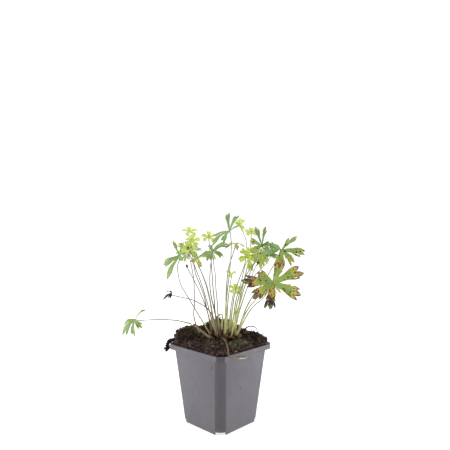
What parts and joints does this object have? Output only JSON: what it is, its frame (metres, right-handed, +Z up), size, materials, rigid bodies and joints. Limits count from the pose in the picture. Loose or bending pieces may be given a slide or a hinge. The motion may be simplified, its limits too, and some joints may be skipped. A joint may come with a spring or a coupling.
{
  "type": "potted cranesbill",
  "caption": "Young cranesbill plant with deeply cut palmate leaves on long thin stalks, growing in peaty soil heaped in a square tapered plastic nursery pot.",
  "frame": {"origin": "centre of the pot's underside, on the surface it stands on", "axes": "+Z up, X and Y across the flats of the pot; the corner between +X and -Y is the front one"},
  "size_m": [0.1753, 0.1755, 0.247],
  "materials": {
    "pot": "moulded dark grey plastic, satin, with dried water marks and soil specks",
    "soil": "dark fibrous peat with crumbs, bark bits and moss",
    "crown": "rough brown rootstock",
    "stalk": "pale green, finely hairy, yellower at the foot",
    "dark_stalk": "purple brown stalk",
    "leaf": "soft matt green with darker veins, some with dead brown edges",
    "young_leaf": "bright yellow green, thin",
    "withered_leaf": "dry dark brown",
    "dead_stem": "dry tan stalk"
  },
  "bodies": {
    "root": {"pot": "pot", "soil": "soil", "crown": "crown", "blotched_stem": "stalk", "blotched_leaf": "leaf", "right_upper_stem": "stalk", "right_upper_leaf": "leaf", "rounded_stem": "stalk", "rounded_leaf": "leaf", "spray_stem": "stalk", "spray_leaf": "leaf", "yellowing_stem": "stalk", "yellowing_leaf": "leaf", "bright_mid_stem": "stalk", "bright_mid_leaf": "young_leaf", "young_top_stem": "stalk", "young_top_leaf": "young_leaf", "pale_back_stem": "stalk", "pale_back_leaf": "young_leaf", "top_stem": "stalk", "top_leaf": "leaf", "level_mid_stem": "stalk", "level_mid_leaf": "leaf", "left_mid_stem": "dark_stalk", "left_mid_leaf": "leaf", "pale_left_stem": "dark_stalk", "pale_left_leaf": "young_leaf", "left_high_stem": "stalk", "left_high_leaf": "young_leaf", "left_bright_stem": "stalk", "left_bright_leaf": "young_leaf", "left_spotted_stem": "stalk", "left_spotted_leaf": "young_leaf", "left_brown_stem": "stalk", "left_brown_leaf": "leaf", "left_outer_stem": "stalk", "left_outer_leaf": "leaf", "far_left_stem": "stalk", "far_left_leaf": "leaf", "small_upper_stem": "stalk", "small_upper_leaf": "young_leaf", "small_lower_stem": "stalk", "small_lower_leaf": "young_leaf", "withered_stem": "stalk", "withered_leaf": "withered_leaf", "back_right_low_stem": "stalk", "back_right_low_leaf": "leaf", "back_right_high_stem": "stalk", "back_right_high_leaf": "leaf", "back_left_high_stem": "stalk", "back_left_high_leaf": "leaf", "back_mid_stem": "stalk", "back_mid_leaf": "leaf", "back_trailing_stem": "stalk", "back_trailing_leaf": "leaf", "bud_stalk": "dark_stalk", "young_shoot": "stalk", "dead_runner": "dead_stem", "dry_stalk": "dead_stem"}
  },
  "joints": []
}
